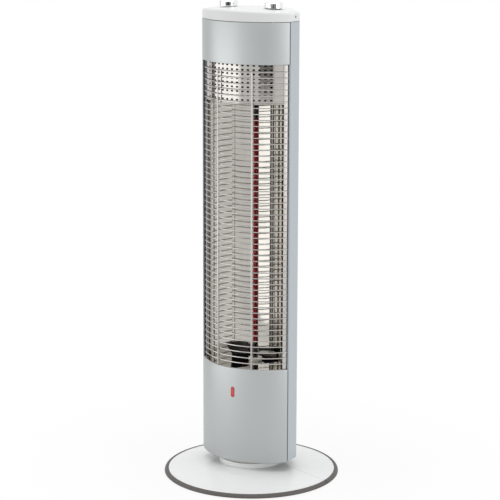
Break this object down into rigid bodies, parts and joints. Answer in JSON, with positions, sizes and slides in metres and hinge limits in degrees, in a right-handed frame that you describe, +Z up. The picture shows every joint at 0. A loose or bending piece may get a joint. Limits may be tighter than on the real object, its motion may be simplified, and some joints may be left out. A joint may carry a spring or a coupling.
{
  "type": "graphite tower heater",
  "caption": "Tower heater on a round swivel base: a graphite tube and folded reflector behind a wire guard, with a domed cap, control knobs, a swing drive and a tip-over switch.",
  "frame": {"origin": "on the floor under the swing axis, at the middle of the round base", "axes": "+Z up along the swing axis; the window faces -Y; +X is on the right of someone facing it"},
  "size_m": [0.294, 0.294, 0.791],
  "materials": {
    "white_plastic": "white moulded plastic, satin gloss",
    "edging_rubber": "warm grey soft edging",
    "foot_rubber": "black rubber pads",
    "plate_steel": "zinc-plated sheet steel",
    "ballast_iron": "plain black ring",
    "screw_steel": "blackened screws",
    "machined_steel": "turned steel",
    "bearing_plastic": "natural bearing plastic",
    "black_plastic": "black moulded plastic",
    "motor_steel": "plated motor can",
    "silver_paint": "fine silver metallic paint, satin",
    "grey_paint": "pale bluish grey paint, satin",
    "cap_plastic": "pale grey moulded plastic",
    "red_lens": "clear red plastic",
    "guard_chrome": "bright plated wire",
    "knob_chrome": "bright plated plastic",
    "polished_steel": "polished stainless sheet",
    "reflector_aluminium": "bright rolled reflector sheet",
    "quartz": "clear fused quartz",
    "graphite": "dark red element",
    "terminal_carbon": "black carbon ends",
    "porcelain": "opaque white glazed porcelain",
    "sleeve_cloth": "white woven glass sleeve"
  },
  "bodies": {
    "base": {"base_front_cover": "white_plastic", "base_rear_cover": "white_plastic", "front_edge_trim": "edging_rubber", "rear_edge_trim": "edging_rubber", "base_bottom_plate": "plate_steel", "base_feet": "foot_rubber", "base_screws": "screw_steel", "base_weight": "ballast_iron", "neck_ring": "white_plastic", "slip_ring": "bearing_plastic", "swivel_socket": "black_plastic", "hub_bush": "bearing_plastic", "swing_fork": "plate_steel", "tip_switch": "black_plastic"},
    "plunger": {"tip_plunger": "black_plastic"},
    "crank": {"motor_shaft": "machined_steel", "swing_crank": "bearing_plastic"},
    "heat_control": {"heat_shaft": "machined_steel", "heat_knob": "knob_chrome"},
    "timer_control": {"timer_shaft": "machined_steel", "timer_knob": "knob_chrome"},
    "column": {"column_floor": "plate_steel", "right_rail": "plate_steel", "left_rail": "plate_steel", "lower_tube_bracket": "plate_steel", "upper_tube_bracket": "plate_steel", "control_bracket": "plate_steel", "floor_screws": "screw_steel", "frame_screws": "screw_steel", "rear_cover_screws": "screw_steel", "cap_screws": "screw_steel", "hub_tube": "machined_steel", "hub_circlip": "machined_steel", "thrust_washer": "bearing_plastic", "heat_switch": "black_plastic", "timer_switch": "black_plastic", "cord_gland": "black_plastic", "swing_motor": "motor_steel", "thermal_cutout": "motor_steel", "upper_front_panel": "silver_paint", "lower_front_panel": "silver_paint", "rear_cover": "grey_paint", "top_cap": "cap_plastic", "pilot_lamp": "red_lens", "guard_wires": "guard_chrome", "guard_uprights": "guard_chrome", "guard_right_strip": "guard_chrome", "guard_left_strip": "guard_chrome", "perforated_plate": "polished_steel", "reflector_floor": "reflector_aluminium", "reflector_trough": "reflector_aluminium", "reflector_right_wing": "reflector_aluminium", "reflector_left_wing": "reflector_aluminium", "quartz_tube": "quartz", "graphite_element": "graphite", "element_terminals": "terminal_carbon", "lower_tube_cap": "porcelain", "upper_tube_cap": "porcelain", "terminal_block": "porcelain", "lead_sleeves": "sleeve_cloth"}
  },
  "joints": [
    {"name": "swing", "type": "hinge", "parent": "base", "child": "column", "pos_m": [0, 0, 0.03], "axis": [0, 0, 1], "range_deg": [-27.5, 27.5]},
    {"name": "crank_turn", "type": "hinge", "parent": "column", "child": "crank", "pos_m": [0.0295, 0, 0.03], "axis": [0, 0, 1], "range_deg": [-90.2, 90.2]},
    {"name": "heat_turn", "type": "hinge", "parent": "column", "child": "heat_control", "pos_m": [-0.0423, -0.005, 0.786], "axis": [0, 0, 1], "range_deg": [-120, 0]},
    {"name": "timer_turn", "type": "hinge", "parent": "column", "child": "timer_control", "pos_m": [0.0423, -0.005, 0.786], "axis": [0, 0, 1], "range_deg": [-270, 0]},
    {"name": "tip_press", "type": "slide", "parent": "base", "child": "plunger", "axis": [0, 0, 1], "range_m": [-0.0035, 0], "stiffness_N_per_m": 100, "springref_m": -0.006}
  ],
  "couplings": [
    {"joint": "crank_turn", "follows": "swing", "ratio": -3.2727}
  ]
}
